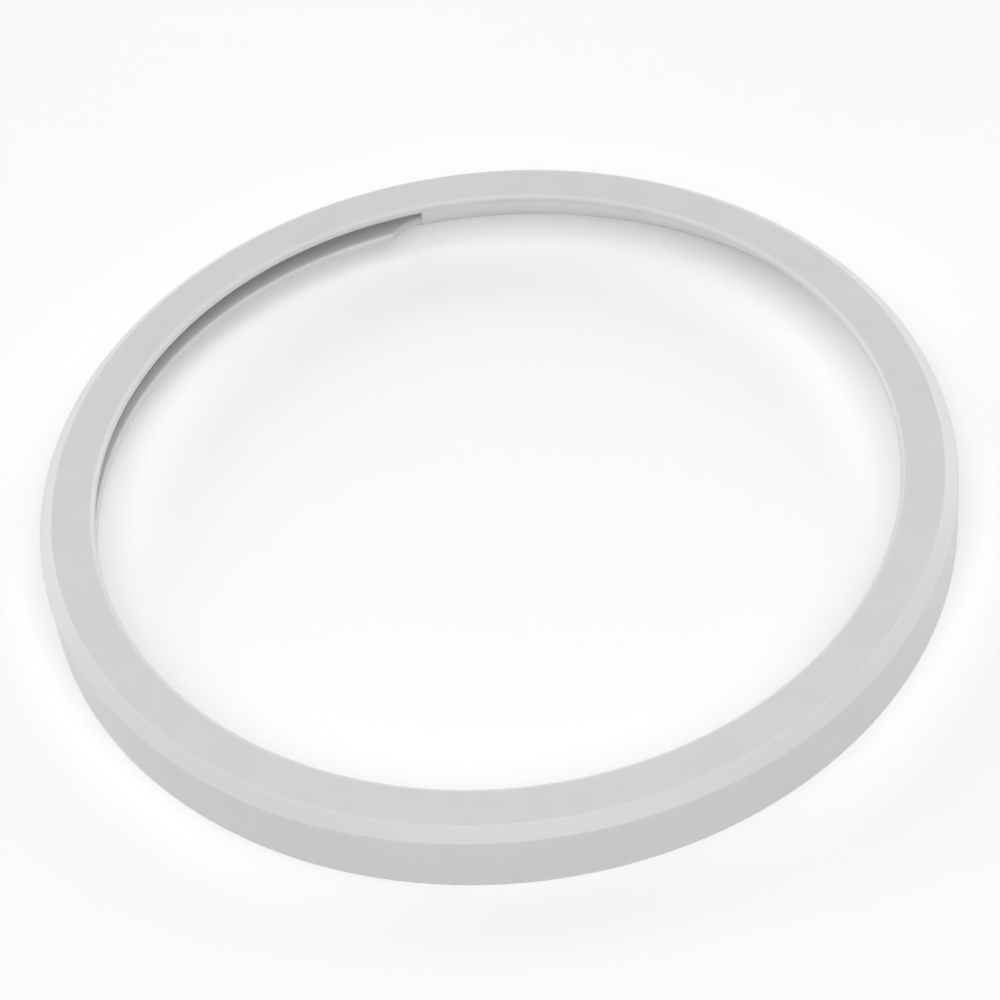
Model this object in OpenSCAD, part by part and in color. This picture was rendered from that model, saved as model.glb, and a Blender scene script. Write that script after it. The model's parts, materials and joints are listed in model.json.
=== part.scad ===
// Sealing ring of a stovetop pressure cooker's lid, one silicone moulding.
// It rests on its bottom edge at z = 0 with the flat sealing face up, centred on the Z axis.
// Two lips reach inward from the wall with a groove between them, open to the middle, so that
// the pressure spreads them: the top lip against the lid and the lower lip against the pot.
// The top lip runs all round. The lower lip and the groove stop at an arc centred on +Y, where
// the section is solid.

/* [Ring] */
// Outer diameter of the ring
outer_d = 236; // [180:1:300]
// Height from the bottom edge to the flat top face
height = 18.8; // [17:0.2:26]
// Thickness of the outer wall
wall_t = 4; // [3:0.1:5]
// Width of the flat bottom edge that the ring rests on
foot_w = 0.5; // [0.4:0.1:1.5]

/* [Top lip] */
// Reach of the top lip inward from the wall
top_lip_reach = 10.6; // [9:0.1:15]
// Thickness of the top lip
top_lip_t = 2.4; // [2:0.1:3.2]
// Radius that rounds the top lip's inner edge above
top_lip_edge_r = 1.5; // [0.6:0.1:1.5]
// Radius that rounds the top lip's inner edge below
top_lip_under_r = 0.8; // [0.3:0.1:0.8]
// Width of the chamfer round the top face
chamfer_w = 3.4; // [2:0.1:4.5]
// Height of the chamfer round the top face
chamfer_h = 2.9; // [1:0.1:4]

/* [Lower lip] */
// Reach of the lower lip inward from the wall
lower_lip_reach = 9.7; // [8:0.1:11]
// Thickness of the lower lip
lower_lip_t = 2.8; // [2:0.1:3.5]
// How far the lower lip rises from its root in the wall to its tip
lower_lip_rise = 3.5; // [1.5:0.1:5]
// Height of the groove's mouth, from the top lip down to the lower lip's tip
groove_mouth_h = 5.9; // [4.5:0.1:7.5]
// Reach that the lower lip keeps where it ends at the solid arc
lower_lip_stub = 1.2; // [0.8:0.1:2]
// Length of the hollow cut that ends the lower lip, measured along the ring
lip_end_run = 8.7; // [7:0.1:14]
// Radius of that hollow cut
lip_end_r = 20; // [12:0.5:60]
// Arc that has no lower lip, in degrees
solid_arc = 120; // [60:5:180]

/* [Hidden] */
$fn = 180;
overlap = 1; // how far joined shapes run into each other
root_turn = 0.2; // degrees that the lower lip's stub runs into the solid arc
root_drop = 0.2; // straight wall between the lower lip's root and the bevel under it
wedge_setback = 0.3; // how far the solid arc's face starts behind the top lip's inner edge
foot_step = 0.4; // how much wider the foot is where the section is solid
outer_r = outer_d / 2;
wall_r = outer_r - wall_t;
top_lip_r = wall_r - top_lip_reach;
lower_lip_r = wall_r - lower_lip_reach;
groove_top = height - top_lip_t;
lower_tip_top = groove_top - groove_mouth_h;
lower_root_top = lower_tip_top - lower_lip_rise;
bevel_top = lower_root_top - lower_lip_t - root_drop;
edge_r = min(top_lip_edge_r, 0.64 * top_lip_t);
under_r = min(top_lip_under_r, 0.34 * top_lip_t);
end_tip = [-lip_end_run, sqrt(lower_lip_r^2 - lip_end_run^2)];
end_stub = [0, wall_r - lower_lip_stub];
end_chord = end_stub - end_tip;
end_centre = (end_tip + end_stub) / 2 + [end_chord.y, -end_chord.x] / norm(end_chord)
    * sqrt(lip_end_r^2 - norm(end_chord)^2 / 4);

// The wall with its chamfer and bevelled foot, and the top lip with its rounded inner edge
module wall_and_top_lip_section() {
    polygon([
        [top_lip_r + under_r, groove_top],
        [wall_r, groove_top],
        [wall_r, bevel_top],
        [outer_r - foot_w, 0],
        [outer_r, 0],
        [outer_r, height - chamfer_h],
        [outer_r - chamfer_w, height],
        [top_lip_r + edge_r, height],
        [top_lip_r, height - edge_r],
        [top_lip_r, groove_top + under_r],
    ]);
    translate([top_lip_r + edge_r, height - edge_r])
        circle(r = edge_r);
    translate([top_lip_r + under_r, groove_top + under_r])
        circle(r = under_r);
}

// The wedge that fills the groove in the solid arc, its face sloping from the top lip to the foot
module wedge_section() {
    polygon([
        [top_lip_r + wedge_setback, groove_top + under_r],
        [outer_r - foot_w - foot_step, 0],
        [outer_r - foot_w / 2, 0],
        [wall_r + overlap, bevel_top],
        [wall_r + overlap, groove_top + under_r],
    ]);
}

// The lower lip, rising inward from its root in the wall
module lower_lip_section() {
    root_slope = lower_lip_rise / lower_lip_reach;
    polygon([
        [lower_lip_r, lower_tip_top],
        [lower_lip_r, lower_tip_top - lower_lip_t],
        [wall_r + overlap, lower_root_top - lower_lip_t - overlap * root_slope],
        [wall_r + overlap, lower_root_top - overlap * root_slope],
    ]);
}

// The plan of the stretch without a lower lip: a sector that reaches past the wall, with a round
// at each end that cuts the lip from its stub at the step to its full reach
module lip_gap_plan() {
    far_r = 2 * outer_r;
    half_turn = solid_arc / 2 - root_turn;
    polygon([
        [0, 0],
        for (share = [-1, -0.5, 0, 0.5, 1])
            far_r * [sin(share * half_turn), cos(share * half_turn)],
    ]);
    for (side = [-1, 1])
        rotate([0, 0, side * solid_arc / 2])
            translate([side * end_centre.x, end_centre.y])
                circle(r = lip_end_r);
}

// The lower lip, each end cut away in a hollow round
module lower_lip() {
    difference() {
        rotate_extrude() lower_lip_section();
        linear_extrude(height = groove_top)
            lip_gap_plan();
    }
}

module sealing_ring() {
    color("gainsboro") {
        rotate_extrude() wall_and_top_lip_section();
        lower_lip();
        rotate([0, 0, 90 - solid_arc / 2])
            rotate_extrude(angle = solid_arc)
                wedge_section();
    }
}

sealing_ring();
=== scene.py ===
"""The looks of a pressure cooker's sealing ring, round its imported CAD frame. Lengths are in metres.

The ring is one silicone moulding. Its mesh is a section turned round the Z axis, whose edges
are rounded as a mould leaves them. Turns are angles from +Y, the middle of the solid arc.
"""

import json
import math

import bmesh
import bpy
from mathutils import Matrix, Vector


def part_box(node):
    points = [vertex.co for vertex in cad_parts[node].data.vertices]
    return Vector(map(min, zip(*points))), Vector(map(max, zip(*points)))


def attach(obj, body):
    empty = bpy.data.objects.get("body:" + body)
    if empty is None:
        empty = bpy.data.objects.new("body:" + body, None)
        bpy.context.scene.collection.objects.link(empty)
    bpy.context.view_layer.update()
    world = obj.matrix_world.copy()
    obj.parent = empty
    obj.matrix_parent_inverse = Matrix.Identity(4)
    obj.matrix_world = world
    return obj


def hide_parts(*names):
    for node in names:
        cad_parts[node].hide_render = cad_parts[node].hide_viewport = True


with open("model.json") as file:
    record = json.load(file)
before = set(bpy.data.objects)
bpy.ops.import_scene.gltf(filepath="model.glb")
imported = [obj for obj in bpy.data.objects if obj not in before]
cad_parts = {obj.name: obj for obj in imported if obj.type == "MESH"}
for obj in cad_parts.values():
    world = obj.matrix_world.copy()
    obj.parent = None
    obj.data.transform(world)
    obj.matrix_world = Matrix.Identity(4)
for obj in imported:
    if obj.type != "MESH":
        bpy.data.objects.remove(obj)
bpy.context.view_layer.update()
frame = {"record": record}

# Sizes that the frame gives
NODE = "sealing_ring"
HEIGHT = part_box(NODE)[1].z
MOUNTS = {m["name"]: m for m in frame["record"]["mounts"]}
OUTER_R = MOUNTS["outer_wall"]["dims"]["r_mm"] / 1000
CHAMFER_H = HEIGHT - MOUNTS["outer_wall"]["dims"]["length_mm"] / 1000

# The section, as the CAD part has it
MM = 0.001
WALL_R = OUTER_R - 4 * MM
TOP_LIP_R = WALL_R - 10.6 * MM
CHAMFER_W = 3.4 * MM
GROOVE_TOP = HEIGHT - 2.4 * MM
LOWER_LIP_REACH = 9.7 * MM
LOWER_LIP_RISE = 3.5 * MM
TIP_TOP = GROOVE_TOP - 5.9 * MM
ROOT_TOP = TIP_TOP - LOWER_LIP_RISE
LOWER_LIP_T = 2.8 * MM
BEVEL_TOP = ROOT_TOP - LOWER_LIP_T - 0.2 * MM
FOOT_R = OUTER_R - 0.5 * MM
SOLID_FOOT_R = FOOT_R - 0.4 * MM

# The steps where the solid arc ends, and the hollow cut that ends the lower lip at each
STEP_TURN = math.radians(60)
LOWER_LIP_STUB = 1.2 * MM
LIP_END_RUN = 8.7 * MM
LIP_END_R = 20 * MM

# How far each rounding reaches from its corner
EDGE_ROUND = 1.5 * MM
EDGE_UNDER_ROUND = 0.8 * MM
CHAMFER_ROUND = 0.4 * MM
GROOVE_ROUND = 1.0 * MM
LIP_ROUND = 0.8 * MM
TIP_ROUND = 1.2 * MM
FOOT_ROUND = 0.2 * MM
STEP_ROUND = 0.5 * MM
SOLID_FACE_ROUND = 0.3 * MM
# The most of a short lip's reach that one rounding takes
SHORT_LIP_SHARE = 0.45
# How much of its tangents the corner below the solid arc's rounded edge uses
SOLID_TOP_SHARE = 0.9

TIP_CIRCLE_R = WALL_R - LOWER_LIP_REACH
LIP_END_TURN = math.asin(LIP_END_RUN / TIP_CIRCLE_R)
LIP_END_FULL_TURN = LIP_END_TURN + LIP_ROUND / TIP_CIRCLE_R

# Points along each rounding and each flat between two, and loops round the ring
ARC_POINTS = 7
FLAT_SHARES = (0.04, 0.35, 0.65, 0.96)
LOOP_TURN = math.radians(1.5)
LIP_END_LOOPS = 28
# Corners down the solid arc's inner face: five, so that both sections have as many points
SOLID_FACE_SHARES = (0.25, 0.5, 0.58, 0.66, 0.74)
MERGE_DISTANCE = 0.002 * MM
SHARP_ANGLE = math.radians(40)


def rounded_corner(before, corner, after, reach):
    """Points of the arc that rounds a corner, from reach before it to reach after it."""
    into = (corner - before).normalized()
    out = (after - corner).normalized()
    start = corner - into * reach
    end = corner + out * reach
    weight = math.cos(into.angle(out, 0) / 2)
    points = []
    for step in range(ARC_POINTS):
        t = step / (ARC_POINTS - 1)
        a, b, c = (1 - t) ** 2, 2 * t * (1 - t) * weight, t * t
        points.append((start * a + corner * b + end * c) / (a + b + c))
    return points


def outline(corners):
    """A closed outline of (radius, z) points through corners of (radius, z, reach of rounding)."""
    places = [Vector(c[:2]) for c in corners]
    arcs = []
    for i, (_, _, reach) in enumerate(corners):
        after = places[(i + 1) % len(places)]
        arcs.append(rounded_corner(places[i - 1], places[i], after, reach))
    points = []
    for arc, following in zip(arcs, arcs[1:] + arcs[:1]):
        points += arc
        points += [arc[-1].lerp(following[0], share) for share in FLAT_SHARES]
    return points


def lipped_section(reach):
    """The section with the groove and a lower lip of this reach."""
    share = reach / LOWER_LIP_REACH
    tip_round = min(TIP_ROUND, SHORT_LIP_SHARE * reach)
    lip_round = min(LIP_ROUND, SHORT_LIP_SHARE * reach)
    tip_r = WALL_R - reach
    tip_top = ROOT_TOP + LOWER_LIP_RISE * share
    return outline([
        (OUTER_R - CHAMFER_W, HEIGHT, CHAMFER_ROUND),
        (TOP_LIP_R, HEIGHT, EDGE_ROUND),
        (TOP_LIP_R, GROOVE_TOP, EDGE_UNDER_ROUND),
        (WALL_R, GROOVE_TOP, GROOVE_ROUND),
        (WALL_R, ROOT_TOP, lip_round),
        (tip_r, tip_top, tip_round),
        (tip_r, tip_top - LOWER_LIP_T, lip_round),
        (WALL_R, BEVEL_TOP, lip_round),
        (FOOT_R, 0, FOOT_ROUND),
        (OUTER_R, 0, FOOT_ROUND),
        (OUTER_R, HEIGHT - CHAMFER_H, CHAMFER_ROUND),
    ])


def solid_section(inset):
    """The section with the groove filled in, its sloping inner face cut back by inset.

    The face runs from the rounded inner edge, as a tangent to it, down to the foot.
    """
    centre = Vector((TOP_LIP_R + EDGE_ROUND, HEIGHT - EDGE_ROUND))
    foot = Vector((SOLID_FOOT_R, 0))
    to_foot = foot - centre
    slope = math.atan2(to_foot.y, to_foot.x) + math.asin(EDGE_ROUND / to_foot.length)
    turned = -math.pi / 2 - slope
    reach = EDGE_ROUND * math.tan(abs(turned) / 2)
    top = Vector((TOP_LIP_R, centre.y - reach))
    out = Vector((math.sin(slope), -math.cos(slope)))
    face = []
    for share in SOLID_FACE_SHARES:
        place = top.lerp(foot, share) - out * inset
        face.append((place.x, place.y, SOLID_FACE_ROUND))
    return outline([
        (OUTER_R - CHAMFER_W, HEIGHT, CHAMFER_ROUND),
        (TOP_LIP_R, HEIGHT, EDGE_ROUND),
        (top.x, top.y, SOLID_TOP_SHARE * reach),
        *face,
        (SOLID_FOOT_R, 0, FOOT_ROUND),
        (OUTER_R, 0, FOOT_ROUND),
        (OUTER_R, HEIGHT - CHAMFER_H, CHAMFER_ROUND),
    ])


def cut_reach(turn):
    """The reach that the hollow cut at the lower lip's end leaves, at a turn past the step.

    The cut is a circle through the stub at the step and the tip where the full reach starts.
    """
    tip = Vector((LIP_END_RUN, math.sqrt(TIP_CIRCLE_R**2 - LIP_END_RUN**2)))
    stub = Vector((0, WALL_R - LOWER_LIP_STUB))
    chord = stub - tip
    inward = Vector((-chord.y, chord.x)).normalized()
    centre = (tip + stub) / 2 + inward * math.sqrt(LIP_END_R**2 - chord.length_squared / 4)
    ray = Vector((math.sin(turn), math.cos(turn)))
    middle = centre.dot(ray)
    return WALL_R - middle - math.sqrt(middle**2 - centre.length_squared + LIP_END_R**2)


def lip_reach(turn):
    """The lower lip's reach at a turn past the step, its tip corner eased."""
    corner = LIP_END_TURN - LIP_ROUND / TIP_CIRCLE_R
    if turn <= corner:
        return cut_reach(turn)
    start = cut_reach(corner)
    share = min(1, (turn - corner) / (LIP_END_FULL_TURN - corner))
    return start + (LOWER_LIP_REACH - start) * math.sin(share * math.pi / 2)


def half_loops():
    """(turn, section) for each loop from the middle of the solid arc to the opposite side."""
    loops = []
    step_start = STEP_TURN - STEP_ROUND / TIP_CIRCLE_R
    count = round(step_start / LOOP_TURN)
    loops += [(step_start * i / count, solid_section(0)) for i in range(count)]
    for i in range(ARC_POINTS):
        angle = math.pi / 2 * i / (ARC_POINTS - 1)
        turn = step_start + (STEP_TURN - step_start) * math.sin(angle)
        loops.append((turn, solid_section(STEP_ROUND * (1 - math.cos(angle)))))
    for i in range(LIP_END_LOOPS + 1):
        turn = LIP_END_FULL_TURN * math.sin(math.pi / 2 * i / LIP_END_LOOPS)
        loops.append((STEP_TURN + turn, lipped_section(lip_reach(turn))))
    start = STEP_TURN + LIP_END_FULL_TURN
    count = round((math.pi - start) / LOOP_TURN)
    full = lipped_section(LOWER_LIP_REACH)
    loops += [(start + (math.pi - start) * i / count, full) for i in range(1, count + 1)]
    return loops


def ring_mesh(name):
    """The whole ring: the half's loops, and their mirror image back round to the start."""
    half = half_loops()
    loops = half + [(-turn, section) for turn, section in half[-2:0:-1]]
    verts = [
        (-r * math.sin(turn), r * math.cos(turn), z)
        for turn, section in loops
        for r, z in section
    ]
    ring, row = len(loops), len(half[0][1])
    faces = [
        (a * row + j, a * row + k, b * row + k, b * row + j)
        for a, b in zip(range(ring), [*range(1, ring), 0])
        for j, k in zip(range(row), [*range(1, row), 0])
    ]
    mesh = bpy.data.meshes.new(name)
    mesh.from_pydata(verts, [], faces)
    return tidy_mesh(mesh)


def tidy_mesh(mesh):
    """Joins points that fall together, turns the faces outward and marks the sharp edges."""
    bm = bmesh.new()
    bm.from_mesh(mesh)
    bmesh.ops.remove_doubles(bm, verts=bm.verts, dist=MERGE_DISTANCE)
    bmesh.ops.dissolve_degenerate(bm, edges=bm.edges, dist=MERGE_DISTANCE)
    bmesh.ops.recalc_face_normals(bm, faces=bm.faces)
    for face in bm.faces:
        face.smooth = True
    for edge in bm.edges:
        edge.smooth = len(edge.link_faces) == 2 and edge.calc_face_angle(0) < SHARP_ANGLE
    bm.to_mesh(mesh)
    bm.free()
    return mesh


# The colour sockets of a Mix node, which share their names with its other kinds
MIX_FIRST, MIX_SECOND, MIX_RESULT = 6, 7, 2


class Nodes:
    """A material's node tree, built with short calls."""

    def __init__(self, name):
        self.material = bpy.data.materials.new(name)
        self.material.use_nodes = True
        self.tree = self.material.node_tree
        self.shader = self.tree.nodes["Principled BSDF"]
        coordinates = self.add("ShaderNodeTexCoord")
        self.place = coordinates.outputs["Object"]
        self.facing = coordinates.outputs["Normal"]

    def add(self, kind, **values):
        node = self.tree.nodes.new(kind)
        for key, value in values.items():
            setattr(node, key, value)
        return node

    def link(self, out, into):
        self.tree.links.new(out, into)

    def noise(self, size, detail=3, roughness=0.5):
        """Noise whose spots are about size across, from 0 to 1."""
        node = self.add("ShaderNodeTexNoise")
        node.inputs["Scale"].default_value = 1 / size
        node.inputs["Detail"].default_value = detail
        node.inputs["Roughness"].default_value = roughness
        self.link(self.place, node.inputs["Vector"])
        return node.outputs["Fac"]

    def between(self, fac, low, high, from_low=0.35, from_high=0.65):
        """A number that runs from low to high as fac crosses its middle range."""
        node = self.add("ShaderNodeMapRange")
        self.link(fac, node.inputs["Value"])
        ends = {"From Min": from_low, "From Max": from_high, "To Min": low, "To Max": high}
        for key, value in ends.items():
            node.inputs[key].default_value = value
        return node.outputs["Result"]

    def upward(self):
        """How far the surface faces up: 1 on top, 0 on a wall."""
        node = self.add("ShaderNodeSeparateXYZ")
        self.link(self.facing, node.inputs["Vector"])
        return node.outputs["Z"]

    def times(self, first, second):
        node = self.add("ShaderNodeMath", operation="MULTIPLY")
        self.link(first, node.inputs[0])
        self.link(second, node.inputs[1])
        return node.outputs["Value"]

    def mix(self, fac, first, second):
        """A colour between the first, which may be another node's, and the second."""
        node = self.add("ShaderNodeMix", data_type="RGBA")
        self.link(fac, node.inputs["Factor"])
        if isinstance(first, tuple):
            node.inputs[MIX_FIRST].default_value = first
        else:
            self.link(first, node.inputs[MIX_FIRST])
        node.inputs[MIX_SECOND].default_value = second
        return node.outputs[MIX_RESULT]

    def bump(self, height, distance, normal=None):
        node = self.add("ShaderNodeBump")
        node.inputs["Distance"].default_value = distance
        self.link(height, node.inputs["Height"])
        if normal is not None:
            self.link(normal, node.inputs["Normal"])
        return node.outputs["Normal"]


def grey(value):
    return (value, value, value, 1)


# The silicone: its greys, the ranges of its roughness, and the sizes of its spots and bumps
CLOUD_GREYS = (0.73, 0.73, 0.733, 1), grey(0.75)
# A lighter grey: painted light on the chamfer and the rounded edges
PAINTED_LIGHT_GREY = grey(0.82)
SMEARED_ROUGHNESS = 0.52, 0.66
SATIN, MATT = 0.6, 1.0
CLOUD_SIZE = 14 * MM
SMEAR_SIZE = 6 * MM
WAVE_SIZE, WAVE_DEPTH = 9 * MM, 0.05 * MM
GRAIN_SIZE, GRAIN_DEPTH = 0.35 * MM, 0.008 * MM
SILICONE_IOR = 1.41
SCATTER_SHARE = 0.3
SCATTER_DEPTH = 1.0 * MM

# How far up a surface faces where it stops being wall, where it turns matt, and where it is flat; the
# first and the last bound where light is painted into the colour
OFF_WALL = 0.3, 0.6
TURNS_MATT = 0.85, 0.97
TURNS_FLAT = 0.95, 0.99


def silicone():
    """Light grey silicone, cloudy in the mass: the flat sealing face is matt from its mould, the wall
    is satin, and the chamfer and the rounded edges are satin and carry painted light, a lighter grey
    that stands in for the light falling on them."""
    nodes = Nodes("silicone")
    shader = nodes.shader
    clouds = nodes.between(nodes.noise(CLOUD_SIZE, detail=4, roughness=0.6), 0, 1)
    body = nodes.mix(clouds, *CLOUD_GREYS)
    upward = nodes.upward()
    # Faces that slope partly up, the chamfer and the rounded edges, get a lighter grey: painted light
    # in the colour
    off_wall = nodes.between(upward, 0, 1, *OFF_WALL)
    not_flat = nodes.between(upward, 1, 0, *TURNS_FLAT)
    painted_light_mask = nodes.times(off_wall, not_flat)
    nodes.link(nodes.mix(painted_light_mask, body, PAINTED_LIGHT_GREY), shader.inputs["Base Color"])
    smears = nodes.noise(SMEAR_SIZE, detail=5, roughness=0.65)
    smeared = nodes.between(smears, *SMEARED_ROUGHNESS)
    satin = nodes.between(upward, SATIN, MATT, *TURNS_MATT)
    nodes.link(nodes.times(smeared, satin), shader.inputs["Roughness"])
    shader.inputs["IOR"].default_value = SILICONE_IOR
    shader.inputs["Subsurface Weight"].default_value = SCATTER_SHARE
    shader.inputs["Subsurface Radius"].default_value = (1.0, 1.0, 1.0)
    shader.inputs["Subsurface Scale"].default_value = SCATTER_DEPTH
    waves = nodes.bump(nodes.noise(WAVE_SIZE, detail=2), WAVE_DEPTH)
    grain = nodes.bump(nodes.noise(GRAIN_SIZE, detail=2), GRAIN_DEPTH, waves)
    nodes.link(grain, shader.inputs["Normal"])
    return nodes.material


def make_ring():
    """The ring, which rides on the frame's root and stands for the CAD part's only node."""
    ring = bpy.data.objects.new("silicone_ring", ring_mesh("silicone_ring"))
    bpy.context.scene.collection.objects.link(ring)
    ring.data.materials.append(silicone())
    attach(ring, "root")
    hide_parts(NODE)


FLOOR_HALF = 3.0
FLOOR_GREYS = grey(0.90), grey(0.92)
FLOOR_CLOUD_SIZE = 0.4
FLOOR_ROUGHNESS = 0.9
FLOOR_GLOW = 0.18


def make_floor():
    """A wide pale floor under the ring."""
    corners = [(FLOOR_HALF * x, FLOOR_HALF * y, 0) for x, y in ((-1, -1), (1, -1), (1, 1), (-1, 1))]
    mesh = bpy.data.meshes.new("floor")
    mesh.from_pydata(corners, [], [(0, 1, 2, 3)])
    floor = bpy.data.objects.new("floor", mesh)
    bpy.context.scene.collection.objects.link(floor)
    nodes = Nodes("floor_paper")
    shader = nodes.shader
    shades = nodes.between(nodes.noise(FLOOR_CLOUD_SIZE, detail=1), 0, 1)
    nodes.link(nodes.mix(shades, *FLOOR_GREYS), shader.inputs["Base Color"])
    shader.inputs["Roughness"].default_value = FLOOR_ROUGHNESS
    shader.inputs["Emission Color"].default_value = grey(1)
    shader.inputs["Emission Strength"].default_value = FLOOR_GLOW
    mesh.materials.append(nodes.material)


# The camera, which looks down at the ring from in front, turned by this much from -Y
CAMERA_TURN = math.radians(53.8)
CAMERA_ELEVATION = math.radians(46.8)
CAMERA_ROLL = math.radians(-7.1)
CAMERA_DISTANCE = 0.799
CAMERA_LENS_MM = 112.2
CAMERA_CLIP_END = 20
# The point it looks at, seen from the middle of the top face
AIM_BELOW_CENTRE = 8.8 * MM
AIM_RIGHT_OF_CENTRE = 0.4 * MM


def camera_axes(turn, elevation):
    """The camera's right, up and forward directions before it rolls."""
    right = Vector((math.cos(turn), math.sin(turn), 0))
    level = Vector((-math.sin(turn), math.cos(turn), 0))
    up = level * math.sin(elevation) + Vector((0, 0, math.cos(elevation)))
    forward = level * math.cos(elevation) - Vector((0, 0, math.sin(elevation)))
    return right, up, forward


def make_camera():
    right, up, forward = camera_axes(CAMERA_TURN, CAMERA_ELEVATION)
    aim = Vector((0, 0, HEIGHT)) - up * AIM_BELOW_CENTRE + right * AIM_RIGHT_OF_CENTRE
    place = aim - forward * CAMERA_DISTANCE
    turned = Matrix((right, up, -forward)).transposed() @ Matrix.Rotation(CAMERA_ROLL, 3, "Z")
    data = bpy.data.cameras.new("camera")
    data.lens = CAMERA_LENS_MM
    data.clip_end = CAMERA_CLIP_END
    camera = bpy.data.objects.new("camera", data)
    camera.matrix_world = Matrix.Translation(place) @ turned.to_4x4()
    bpy.context.scene.collection.objects.link(camera)
    bpy.context.scene.camera = camera


# Each square soft box: name, degrees to the right of the camera's side, degrees up, side, watts
SOFT_BOXES = (
    ("front_box", 0, 62, 1.5, 16),
    ("right_back_box", 130, 20, 1.0, 8),
    ("left_back_box", -130, 20, 1.0, 8),
    ("top_box", 180, 80, 1.2, 2),
)
SOFT_BOX_DISTANCE = 1.5
WORLD_STRENGTH = 0.1


def soft_box(name, turn, elevation, size, power):
    """An area light that faces the ring."""
    angle = CAMERA_TURN + math.radians(turn)
    rise = math.radians(elevation)
    level = Vector((math.sin(angle), -math.cos(angle), 0))
    away = level * math.cos(rise) + Vector((0, 0, math.sin(rise)))
    light = bpy.data.lights.new(name, "AREA")
    light.size = size
    light.energy = power
    box = bpy.data.objects.new(name, light)
    box.location = away * SOFT_BOX_DISTANCE
    box.rotation_euler = away.to_track_quat("Z", "Y").to_euler()
    bpy.context.scene.collection.objects.link(box)


def make_light():
    """The soft boxes, in a faint white surround."""
    world = bpy.data.worlds.new("studio")
    world.use_nodes = True
    background = world.node_tree.nodes["Background"]
    background.inputs["Color"].default_value = grey(1)
    background.inputs["Strength"].default_value = WORLD_STRENGTH
    bpy.context.scene.world = world
    for box in SOFT_BOXES:
        soft_box(*box)


make_ring()
make_floor()
make_camera()
make_light()
bpy.context.scene.view_settings.view_transform = "Standard"
